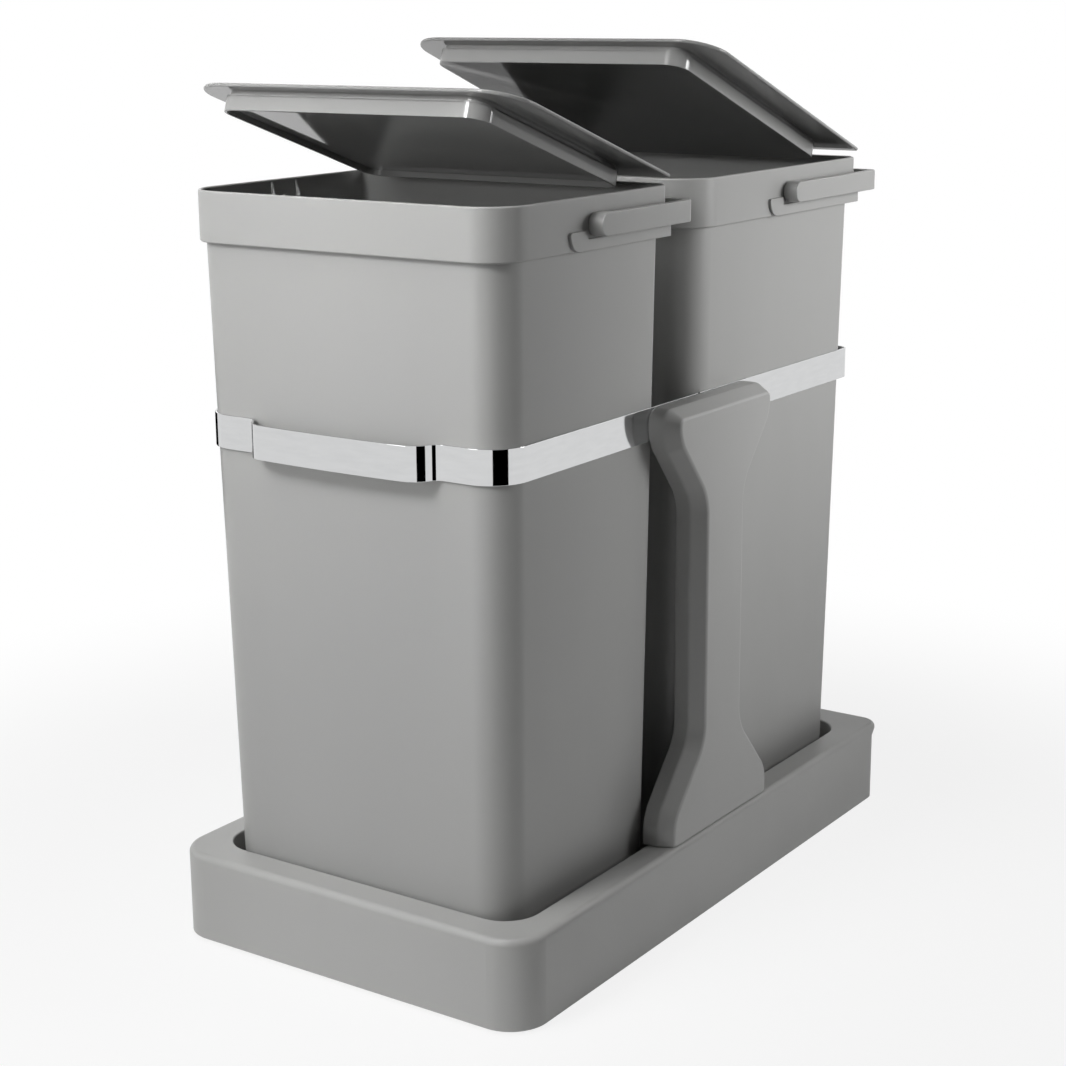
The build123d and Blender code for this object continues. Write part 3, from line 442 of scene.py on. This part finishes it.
def bin_form(front, rear, pivot):
    """A tapered bin: collar, full-round rim, shelf, bail ledges, hinge lip and ears, pivot ribs."""

    def level(height, inset, front_radius, rear_radius):
        return (height, BIN_HALF - inset, front + inset, rear - inset, front_radius, rear_radius)

    def body(height, wall):
        radius = COLLAR_RADIUS - COLLAR_STEP - wall
        return level(height, bin_inset(height) + wall, radius, REAR_RADIUS - wall)

    def collar(height, inset):
        return level(height, inset, COLLAR_RADIUS - inset, REAR_RADIUS - inset)

    foot = 2.5
    edge = 1.0
    rim = COLLAR_WALL / 2
    fold = 3.0
    levels = []
    for turn in (0, 30, 60, 90):
        drawn_in = foot * (1 - sin(radians(turn)))
        levels.append(
            level(
                BIN_BOTTOM + foot * (1 - cos(radians(turn))),
                COLLAR_STEP + BIN_DRAFT + drawn_in,
                COLLAR_RADIUS - COLLAR_STEP - drawn_in,
                REAR_RADIUS - drawn_in,
            )
        )
    levels += [body(COLLAR_BOTTOM - 0.7, 0.0), body(COLLAR_BOTTOM - 0.2, -0.2), collar(COLLAR_BOTTOM, 3.1)]
    for turn in (0, 30, 60, 90):
        drawn_in = edge * (1 - sin(radians(turn)))
        levels.append(collar(COLLAR_BOTTOM + edge * (1 - cos(radians(turn))), drawn_in))
    for turn in (0, 30, 60, 90, 120, 150, 180):
        levels.append(collar(BIN_RIM - rim * (1 - sin(radians(turn))), rim * (1 - cos(radians(turn)))))
    shelf = COLLAR_BOTTOM + SHELF
    levels += [
        collar(shelf + 0.8, COLLAR_WALL),
        collar(shelf + 0.2, COLLAR_WALL + 0.2),
        collar(shelf, COLLAR_WALL + 0.8),
        level(shelf, COLLAR_STEP + BIN_WALL - 0.6, COLLAR_RADIUS - COLLAR_STEP - BIN_WALL + 0.6, 4.4),
        body(shelf - 0.6, BIN_WALL),
    ]
    bed = BIN_BOTTOM + BIN_FLOOR
    for turn in (0, 30, 60, 90):
        drawn_in = fold * (1 - cos(radians(turn)))
        levels.append(
            level(
                bed + fold * (1 - sin(radians(turn))),
                COLLAR_STEP + BIN_DRAFT + BIN_WALL + drawn_in,
                COLLAR_RADIUS - COLLAR_STEP - BIN_WALL - drawn_in,
                REAR_RADIUS - BIN_WALL - drawn_in,
            )
        )
    bm = skin(levels, segments=10)

    for side in (-1, 1):
        # The ledge that carries the folded bail and turns up round its hub in a rounded nose.
        nose, hub = pivot - NOSE_REACH, pivot - HUB_REACH
        within = 1.0
        root = side * (BIN_HALF - within)
        outline = [
            ((root, nose, COLLAR_BOTTOM), 9.6),
            ((root, rear, COLLAR_BOTTOM), 0),
            ((root, rear, COLLAR_BOTTOM + LEDGE_HEIGHT), 0),
            ((root, hub, COLLAR_BOTTOM + LEDGE_HEIGHT), 0),
            ((root, hub, COLLAR_BOTTOM + NOSE_HEIGHT), 1.5),
            ((root, nose, COLLAR_BOTTOM + NOSE_HEIGHT), 1.5),
        ]
        ledge = prism(outline, (side * (within + LEDGE_STAND), 0, 0))
        soften(ledge, 0.5)
        joined(bm, ledge)
        # The two ribs beside the pivot.
        root, wall = side * (BIN_HALF - COLLAR_WALL / 2), side * (BIN_HALF - COLLAR_WALL)
        tip = wall - side * RIB_DEPTH
        low, high = COLLAR_BOTTOM + SHELF - 0.5, BIN_RIM - RIB_RIM_DROP
        for way in (-1, 1):
            y = pivot + way * RIB_SPACING / 2 - RIB_THICKNESS / 2
            outline = [
                ((root, y, low), 0),
                ((tip, y, low), 0),
                ((tip, y, high - RIB_SLOPE), 1.0),
                ((wall, y, high), 0),
                ((root, y, high), 0),
            ]
            rib = prism(outline, (0, RIB_THICKNESS, 0))
            soften(rib, 0.3)
            joined(bm, rib)
    lip = block((-LIP_HALF, rear - 1.5, BIN_RIM - LIP_THICKNESS), (LIP_HALF, rear + LIP_REACH, BIN_RIM))
    soften(lip, 0.8)
    joined(bm, lip)
    ear_centre = HINGE_WIDTH / 2 - HINGE_PLAY - EAR_WIDTH / 2
    axis = rear + HINGE_BACK
    for x in [centre + way * ear_centre for centre in HINGE_CENTRES for way in (-1, 1)]:
        eye = barrel((x, axis, HINGE_HEIGHT), EYE_RADIUS, EAR_WIDTH)
        soften(eye, 0.4)
        stalk = block(
            (x - EAR_WIDTH / 2, axis - EYE_RADIUS, BIN_RIM - 1.5),
            (x + EAR_WIDTH / 2, axis + EYE_RADIUS, HINGE_HEIGHT),
        )
        soften(stalk, 0.3)
        joined(bm, eye, stalk)
    return bm


# ------------------------------------------------------------------------------- lids


def lid_form(front, rear, lean):
    """A lid shut, round its hinge line, with its notches and tongues, and the turn that opens it."""
    lid_front = front - rear - HINGE_BACK
    top, bottom = LID_THICKNESS / 2, -LID_THICKNESS / 2
    shelf = bottom - NECK_HEIGHT
    underside = bottom - PANEL_DROP
    bed = underside + LID_THICKNESS

    def flange(height, inset):
        return (
            height,
            BIN_HALF - inset,
            lid_front + inset,
            LID_BEHIND_HINGE - inset,
            COLLAR_RADIUS - inset,
            LID_REAR_RADIUS - inset,
        )

    def under(height, inset):
        """The outline of what hangs under the flange, set in from its sides by a length."""
        inward = inset - SKIRT_INSET
        return (
            height,
            BIN_HALF - inset,
            lid_front + inset - SKIRT_FRONT_SHIFT,
            -SKIRT_REAR_GAP - inward,
            SKIRT_CORNER_RADIUS - inward,
            SKIRT_REAR_RADIUS - inward,
        )

    def rim(wall, high, low):
        """A wall of the skirt, with its edges rounded."""
        corner = [(0.4, 0.0), (0.12, 0.12), (0.0, 0.4)]
        rounds = [(drawn_in, high - down) for drawn_in, down in corner]
        rounds += [(drawn_in, low + up) for drawn_in, up in reversed(corner)]
        outer = [under(height, SKIRT_INSET + drawn_in) for drawn_in, height in rounds]
        inner = [under(height, SKIRT_INSET + wall - drawn_in) for drawn_in, height in rounds]
        form, hollow = skin(outer, segments=10), skin(inner, segments=10)
        for shell in (form, hollow):
            caps = [face for face in shell.faces if len(face.verts) > 4]
            bmesh.ops.delete(shell, geom=caps, context="FACES_ONLY")
        bmesh.ops.reverse_faces(hollow, faces=hollow.faces)
        form = joined(form, hollow)
        bmesh.ops.bridge_loops(form, edges=[edge for edge in form.edges if edge.is_boundary])
        bmesh.ops.recalc_face_normals(form, faces=form.faces)
        return form

    # From the sunken middle up over the flange, round its edge and down to the underside.
    levels = [
        under(bed, PANEL_INSET + 4.5),
        under(bed, PANEL_INSET + 3.1),
        under(bed + 0.2, PANEL_INSET + 2.2),
        under(top - 0.5, PANEL_INSET),
        under(top - 0.1, PANEL_INSET - 0.3),
        under(top, PANEL_INSET - 0.7),
    ]
    quarter = (0, 30, 60, 90)
    for face, way, turns in ((top, -1, quarter), (bottom, 1, reversed(quarter))):
        for turn in turns:
            height = face + way * LID_EDGE * (1 - cos(radians(turn)))
            levels.append(flange(height, LID_EDGE * (1 - sin(radians(turn)))))
    below = SKIRT_INSET + SKIRT_STEP
    levels += [
        under(bottom, below - 0.3),
        under(bottom - 0.3, below),
        under(underside + 0.5, below),
        under(underside, below + 0.5),
        under(underside, below + 2.0),
    ]
    bm = skin(levels, segments=10)
    step = rim(SKIRT_STEP + SKIRT_WALL, shelf, shelf - SKIRT_WALL)
    joined(bm, step, rim(SKIRT_WALL, shelf - 0.4, shelf - SKIRT_HEIGHT))

    notches = [
        block((centre - HINGE_WIDTH / 2, -5.0, -4.0), (centre + HINGE_WIDTH / 2, 3.0, 4.0))
        for centre in HINGE_CENTRES
    ]
    tongues = []
    for centre in HINGE_CENTRES:
        eye = barrel((centre, 0, 0), EYE_RADIUS, TONGUE_WIDTH)
        soften(eye, 0.4)
        ends = (centre - TONGUE_WIDTH / 2, centre + TONGUE_WIDTH / 2)
        tongue = block((ends[0], -TONGUE_REACH, bottom), (ends[1], 0, top))
        soften(tongue, 0.4)
        tongues += [eye, tongue]
    hinge = Matrix.Translation((0, rear + HINGE_BACK, HINGE_HEIGHT))
    return bm, notches, tongues, hinge @ Matrix.Rotation(radians(-lean), 4, "X")


def cut(bm, cutters):
    """Cuts blocks out of a form."""
    whole = bpy.data.meshes.new("whole")
    bm.to_mesh(whole)
    bm.free()
    body = bpy.data.objects.new("whole", whole)
    tool = joined(bmesh.new(), *cutters)
    tool_mesh = bpy.data.meshes.new("tool")
    tool.to_mesh(tool_mesh)
    tool.free()
    knife = bpy.data.objects.new("tool", tool_mesh)
    for passing in (body, knife):
        bpy.context.scene.collection.objects.link(passing)
    cutting = body.modifiers.new("cut", "BOOLEAN")
    cutting.operation = "DIFFERENCE"
    cutting.solver = "EXACT"
    cutting.object = knife
    shown = body.evaluated_get(bpy.context.evaluated_depsgraph_get())
    left = bpy.data.meshes.new_from_object(shown)
    bm = bmesh.new()
    bm.from_mesh(left)
    for passing in (body, knife):
        bpy.data.objects.remove(passing)
    for passing in (whole, tool_mesh, left):
        bpy.data.meshes.remove(passing)
    return bm


# ------------------------------------------------------------------------------ bails


def bail_form(rear, pivot):
    """A carrying bail folded back: two arms with hubs, and a crossbar behind the collar."""
    back = rear - pivot
    # On its way up the crossbar passes the lip, the eyes of the hinge and the rear edge of the lid.
    swings = (
        hypot(back + LIP_REACH, BIN_RIM - PIVOT_HEIGHT),
        hypot(back + HINGE_BACK, HINGE_HEIGHT - PIVOT_HEIGHT) + EYE_RADIUS,
        hypot(
            back + HINGE_BACK + LID_BEHIND_HINGE,
            HINGE_HEIGHT + LID_THICKNESS / 2 - PIVOT_HEIGHT,
        ),
    )
    bar = pivot + max(swings) + BAIL_CLEARANCE
    nose = pivot - BAIL_HUB_REACH
    hub_end = nose + BAIL_HUB_LENGTH
    low = PIVOT_HEIGHT - BAIL_HEIGHT / 2
    bm = bmesh.new()
    outside, inside = [], []
    runs = (
        (outside, BAIL_OUTSIDE, bar + BAIL_OUTSIDE - BAIL_INSIDE, 5.0),
        (inside, BAIL_INSIDE, bar, 2.9),
    )
    for run, half, end, radius in runs:
        right = [(half, nose), (half, hub_end)]
        for turn in range(0, 91, 15):
            x = half - radius * (1 - cos(radians(turn)))
            right.append((x, end - radius * (1 - sin(radians(turn)))))
        left = [(-x, y) for x, y in reversed(right)]
        run += [bm.verts.new((x, y, low)) for x, y in right + left]
    for corners in zip(outside, outside[1:], inside[1:], inside):
        bm.faces.new(corners)
    for ends in (inside[:2], inside[:-3:-1]):
        side = 1 if ends[0].co.x > 0 else -1
        hub = [bm.verts.new((side * BAIL_HUB_FACE, y, low)) for y in (hub_end, nose)]
        bm.faces.new([*ends, *hub])
    bmesh.ops.recalc_face_normals(bm, faces=bm.faces)
    drawn = bmesh.ops.extrude_face_region(bm, geom=list(bm.faces), use_keep_orig=True)["geom"]
    points = [item for item in drawn if isinstance(item, bmesh.types.BMVert)]
    bmesh.ops.translate(bm, vec=(0, 0, BAIL_HEIGHT), verts=points)
    bmesh.ops.recalc_face_normals(bm, faces=bm.faces)
    return bm, nose


# --------------------------------------------------------------- chrome band and pull


def band_form():
    """The whole band: a strip on edge round both bins, with its bowed pull."""
    inset = bin_inset(BAND_BOTTOM + BAND_HEIGHT)
    front = BINS["front"][0] + inset - BAND_FRONT_STAND
    rear = BINS["rear"][1] - inset + BAND_REAR_STAND
    middle_y, end_y = front - PULL_MIDDLE_STAND, front - PULL_END_STAND
    bow = [((x, middle_y + (end_y - middle_y) * (x / PULL_HALF) ** 2), 0) for x in range(-44, 45, 11)]
    outline = [
        ((-BAND_OUTSIDE, front), BAND_FRONT_BEND),
        ((-PULL_ROOT_HALF, front), PULL_ROOT_BEND),
        ((-PULL_HALF, end_y), PULL_END_BEND),
        *bow,
        ((PULL_HALF, end_y), PULL_END_BEND),
        ((PULL_ROOT_HALF, front), PULL_ROOT_BEND),
        ((BAND_OUTSIDE, front), BAND_FRONT_BEND),
        ((BAND_OUTSIDE, rear), BAND_REAR_BEND),
        ((-BAND_OUTSIDE, rear), BAND_REAR_BEND),
    ]
    bm = bmesh.new()
    points = [bm.verts.new((x, y, BAND_BOTTOM)) for (x, y), _ in outline]
    bm.faces.new(points)
    for point, (_, radius) in zip(points, outline):
        if radius:
            bmesh.ops.bevel(
                bm, geom=[point], offset=radius, segments=12, profile=0.5, affect="VERTICES", material=-1
            )
    whole = list(bm.faces)
    bmesh.ops.inset_region(
        bm, faces=whole, thickness=BAND_THICKNESS, use_even_offset=True, use_boundary=True
    )
    bmesh.ops.delete(bm, geom=whole, context="FACES_ONLY")
    drawn = bmesh.ops.extrude_face_region(bm, geom=list(bm.faces), use_keep_orig=True)["geom"]
    points = [item for item in drawn if isinstance(item, bmesh.types.BMVert)]
    bmesh.ops.translate(bm, vec=(0, 0, BAND_HEIGHT), verts=points)
    bmesh.ops.recalc_face_normals(bm, faces=bm.faces)
    return bm


def half_band(toward):
    """The half of the band in front of its joint (-1) or behind it (1)."""
    bm = band_form()
    keep = bmesh.ops.bisect_plane(
        bm,
        geom=[*bm.verts, *bm.edges, *bm.faces],
        plane_co=(0, toward * BAND_JOINT / 2, 0),
        plane_no=(0, toward, 0),
        clear_inner=True,
    )["geom_cut"]
    edges = [item for item in keep if isinstance(item, bmesh.types.BMEdge)]
    bmesh.ops.edgeloop_fill(bm, edges=edges)
    soften(bm, 0.28)
    bmesh.ops.recalc_face_normals(bm, faces=bm.faces)
    return bm


# --------------------------------------------------------------------------- uprights


def upright_form():
    """The right cover, open behind: broad foot, narrow neck, broad head, bevelled all round."""
    top = BAND_BOTTOM + BAND_HEIGHT - 0.3
    half_outline = [
        (UPRIGHT_FOOT, RIM_TOP - UPRIGHT_DEPTH, 0),
        (UPRIGHT_FOOT, RIM_TOP + UPRIGHT_FOOT_HEIGHT, UPRIGHT_BEND),
        (UPRIGHT_NECK, RIM_TOP + UPRIGHT_NECK_FROM_END, UPRIGHT_BEND),
        (UPRIGHT_NECK, top - UPRIGHT_NECK_FROM_END, UPRIGHT_BEND),
        (UPRIGHT_HEAD, top - UPRIGHT_HEAD_HEIGHT, UPRIGHT_BEND),
        (UPRIGHT_HEAD, top, UPRIGHT_BEND),
    ]
    outline = half_outline + [(-y, z, r) for y, z, r in reversed(half_outline)]
    bm = bmesh.new()
    points = [bm.verts.new((BAND_OUTSIDE, y, z)) for y, z, _ in outline]
    bm.faces.new(points)
    for point, (_, _, radius) in zip(points, outline):
        if radius:
            bmesh.ops.bevel(
                bm, geom=[point], offset=radius, segments=7, profile=0.5, affect="VERTICES", material=-1
            )
    drawn = bmesh.ops.extrude_face_region(bm, geom=list(bm.faces))["geom"]
    points = [item for item in drawn if isinstance(item, bmesh.types.BMVert)]
    bmesh.ops.translate(bm, vec=(UPRIGHT_DEPTH - UPRIGHT_BEVEL, 0, 0), verts=points)
    cap = [item for item in drawn if isinstance(item, bmesh.types.BMFace)]
    bmesh.ops.inset_region(bm, faces=cap, thickness=UPRIGHT_BEVEL_INSET, use_even_offset=True)
    points = list({point for face in cap for point in face.verts})
    bmesh.ops.translate(bm, vec=(UPRIGHT_BEVEL, 0, 0), verts=points)
    bmesh.ops.bisect_plane(
        bm,
        geom=[*bm.verts, *bm.edges, *bm.faces],
        plane_co=(0, 0, RIM_TOP),
        plane_no=(0, 0, 1),
        clear_inner=True,
    )
    bmesh.ops.recalc_face_normals(bm, faces=bm.faces)
    return bm


# ---------------------------------------------------------------------- making pieces

for name, (front, rear, pivot, lean) in BINS.items():
    evened(finished(f"{name}_bin_moulding", bin_form(front, rear, pivot), f"{name}_bin"))

    form, notches, tongues, lean_on = lid_form(front, rear, lean)
    form = joined(cut(form, notches), *tongues)
    bmesh.ops.transform(form, matrix=lean_on, verts=form.verts)
    evened(finished(f"{name}_lid_moulding", form, f"{name}_lid"))

    form, nose = bail_form(rear, pivot)
    round_off(form, lambda edge: runs_along(edge, 0) and middle(edge).y < nose + 0.1, 6.0, 8)
    soften(form, 0.9)
    evened(finished(f"{name}_bail_moulding", form, f"{name}_bail"))

evened(finished("front_band_strip", half_band(-1), "front_band"))
evened(finished("rear_band_strip", half_band(1), "rear_band"))

for side_name, side in (("right", 1), ("left", -1)):
    form = upright_form()
    if side < 0:
        bmesh.ops.scale(form, vec=(-1, 1, 1), verts=form.verts)
        bmesh.ops.reverse_faces(form, faces=form.faces)
    cover = finished(f"upright_cover_{side_name}", form, f"upright_{side_name}")
    wall = cover.modifiers.new("wall", "SOLIDIFY")
    wall.thickness = UPRIGHT_WALL / 1000
    wall.offset = -1.0
    wall.use_even_offset = True
    rounding = cover.modifiers.new("rounding", "BEVEL")
    rounding.width = UPRIGHT_ROUNDING / 1000
    rounding.segments = 3
    rounding.limit_method = "ANGLE"
    rounding.angle_limit = radians(25)
    evened(cover)

# ------------------------------------------------------------- floor, light and camera


def reckoned(tree, operation, *values):
    """A sum worked out from node values."""
    node = tree.nodes.new("ShaderNodeMath")
    node.operation = operation
    for value, socket in zip(values, node.inputs):
        tree.links.new(value, socket)
    return node.outputs["Value"]


def paper_white(name, colour, near, far):
    """Pale paper that reflections see as white. For the camera a shadow stays in it near the unit and
    fades with the distance."""
    material = bpy.data.materials.new(name)
    material.use_nodes = True
    tree = material.node_tree
    tree.nodes.clear()
    out = tree.nodes.new("ShaderNodeOutputMaterial")
    mix = tree.nodes.new("ShaderNodeMixShader")
    paper = tree.nodes.new("ShaderNodeBsdfDiffuse")
    paper.inputs["Color"].default_value = (*colour, 1.0)
    glow = tree.nodes.new("ShaderNodeEmission")
    glow.inputs["Strength"].default_value = 1.0
    rays = tree.nodes.new("ShaderNodeLightPath")
    place = tree.nodes.new("ShaderNodeTexCoord")
    distance = tree.nodes.new("ShaderNodeVectorMath")
    distance.operation = "LENGTH"
    fade = tree.nodes.new("ShaderNodeMapRange")
    fade.interpolation_type = "SMOOTHSTEP"
    fade.inputs["From Min"].default_value = near
    fade.inputs["From Max"].default_value = far
    fade.inputs["To Min"].default_value = 0.85
    fade.inputs["To Max"].default_value = 1.0
    tree.links.new(place.outputs["Object"], distance.inputs[0])
    tree.links.new(distance.outputs["Value"], fade.inputs["Value"])
    mirrored = reckoned(
        tree, "MAXIMUM", rays.outputs["Is Glossy Ray"], rays.outputs["Is Transmission Ray"]
    )
    shown = reckoned(tree, "MULTIPLY_ADD", rays.outputs["Is Camera Ray"], fade.outputs["Result"], mirrored)
    tree.links.new(shown, mix.inputs["Fac"])
    tree.links.new(paper.outputs[0], mix.inputs[1])
    tree.links.new(glow.outputs[0], mix.inputs[2])
    tree.links.new(mix.outputs[0], out.inputs["Surface"])
    return material


bpy.ops.mesh.primitive_plane_add(size=14.0, location=(0, 0, 0))
floor = bpy.context.object
floor.name = "floor"
floor.data.materials.append(paper_white("floor_paper", (0.82, 0.82, 0.82), 0.3, 0.75))

world = bpy.data.worlds.new("studio")
bpy.context.scene.world = world
world.use_nodes = True
tree = world.node_tree
ambient = tree.nodes["Background"]
ambient.inputs["Color"].default_value = (1.0, 1.0, 1.0, 1.0)
ambient.inputs["Strength"].default_value = 0.03
white = tree.nodes.new("ShaderNodeBackground")
white.inputs["Color"].default_value = (1.0, 1.0, 1.0, 1.0)
white.inputs["Strength"].default_value = 1.0
rays = tree.nodes.new("ShaderNodeLightPath")
mirrored = reckoned(tree, "MAXIMUM", rays.outputs["Is Glossy Ray"], rays.outputs["Is Transmission Ray"])
mix = tree.nodes.new("ShaderNodeMixShader")
tree.links.new(reckoned(tree, "MAXIMUM", rays.outputs["Is Camera Ray"], mirrored), mix.inputs["Fac"])
tree.links.new(ambient.outputs[0], mix.inputs[1])
tree.links.new(white.outputs[0], mix.inputs[2])
tree.links.new(mix.outputs[0], tree.nodes["World Output"].inputs["Surface"])


def outward(turn, rise):
    """The direction at a turn to the right of straight ahead and a rise over the floor, in degrees."""
    turn, rise = radians(turn), radians(rise)
    return Vector((sin(turn) * cos(rise), -cos(turn) * cos(rise), sin(rise)))


def softbox(name, turn, rise, distance, size, power, aim=(0.0, 0.0, 0.3), spread=180.0):
    """A soft square lamp that faces a point of the unit."""
    lamp = bpy.data.lights.new(name, "AREA")
    lamp.size = size
    lamp.energy = power
    lamp.spread = radians(spread)
    holder = bpy.data.objects.new(name, lamp)
    away = outward(turn, rise)
    holder.location = Vector(aim) + away * distance
    holder.rotation_euler = (-away).to_track_quat("-Z", "Y").to_euler()
    bpy.context.scene.collection.objects.link(holder)


# Turn and rise in degrees; distance, size and aim in metres; power in watts.
softbox("key_high", -15, 40, 1.6, 0.7, 2.8)
softbox("key_low", -15, 10, 1.6, 0.7, 5.3)
softbox("key_near", -20, 35, 0.95, 0.5, 1.4, (0.0, -0.2, 0.4))
softbox("key_spot", -10, 35, 0.8, 0.25, 0.4, (0.0, -0.21, 0.42), 50)
softbox("over_the_tray", -30, 75, 1.3, 0.5, 0.6, (0.0, -0.25, 0.05), 60)
softbox("side_behind", 150, 20, 1.6, 0.7, 1.85)
softbox("side_near", 110, 15, 0.7, 0.3, 0.57, (0.11, 0.15, 0.38), 60)
softbox("left_behind", -130, 25, 1.6, 0.7, 1.2)

black = bpy.data.materials.new("dark_cloth")
black.use_nodes = True
cloth = black.node_tree.nodes["Principled BSDF"]
cloth.inputs["Base Color"].default_value = (0.0, 0.0, 0.0, 1.0)
cloth.inputs["Specular IOR Level"].default_value = 0.0
cloth.inputs["Roughness"].default_value = 1.0


def dark_card(name, start, end, low, high):
    """A black cloth on edge that only the reflections show, between two points of the floor plan."""
    mesh = bpy.data.meshes.new(name)
    corners = [(*start, low), (*end, low), (*end, high), (*start, high)]
    mesh.from_pydata(corners, [], [(0, 1, 2, 3)])
    mesh.materials.append(black)
    card = bpy.data.objects.new(name, mesh)
    card.visible_camera = False
    card.visible_diffuse = False
    card.visible_shadow = False
    card.visible_transmission = False
    bpy.context.scene.collection.objects.link(card)


dark_card("dark_card_front", (0.624, -0.933), (0.99, -0.357), 0.0, 0.6)
dark_card("dark_card_left", (-0.357, -0.164), (-0.233, 0.017), 0.2, 0.33)

# Where the photograph was taken from.
CAMERA_TURN, CAMERA_RISE, CAMERA_ROLL = 34.41, 14.25, -0.397
CAMERA_DISTANCE = 1.379
CAMERA_AIM = (-0.01446, 0.0, 0.2237)

camera = bpy.data.cameras.new("camera")
camera.lens = 71.65
camera.sensor_width = 36.0
holder = bpy.data.objects.new("camera", camera)
bpy.context.scene.collection.objects.link(holder)
away = outward(CAMERA_TURN, CAMERA_RISE)
roll = Matrix.Rotation(radians(CAMERA_ROLL), 4, "Z").to_quaternion()
holder.location = Vector(CAMERA_AIM) + away * CAMERA_DISTANCE
holder.rotation_mode = "QUATERNION"
holder.rotation_quaternion = (-away).to_track_quat("-Z", "Y") @ roll
bpy.context.scene.camera = holder
bpy.context.scene.view_settings.view_transform = "Standard"
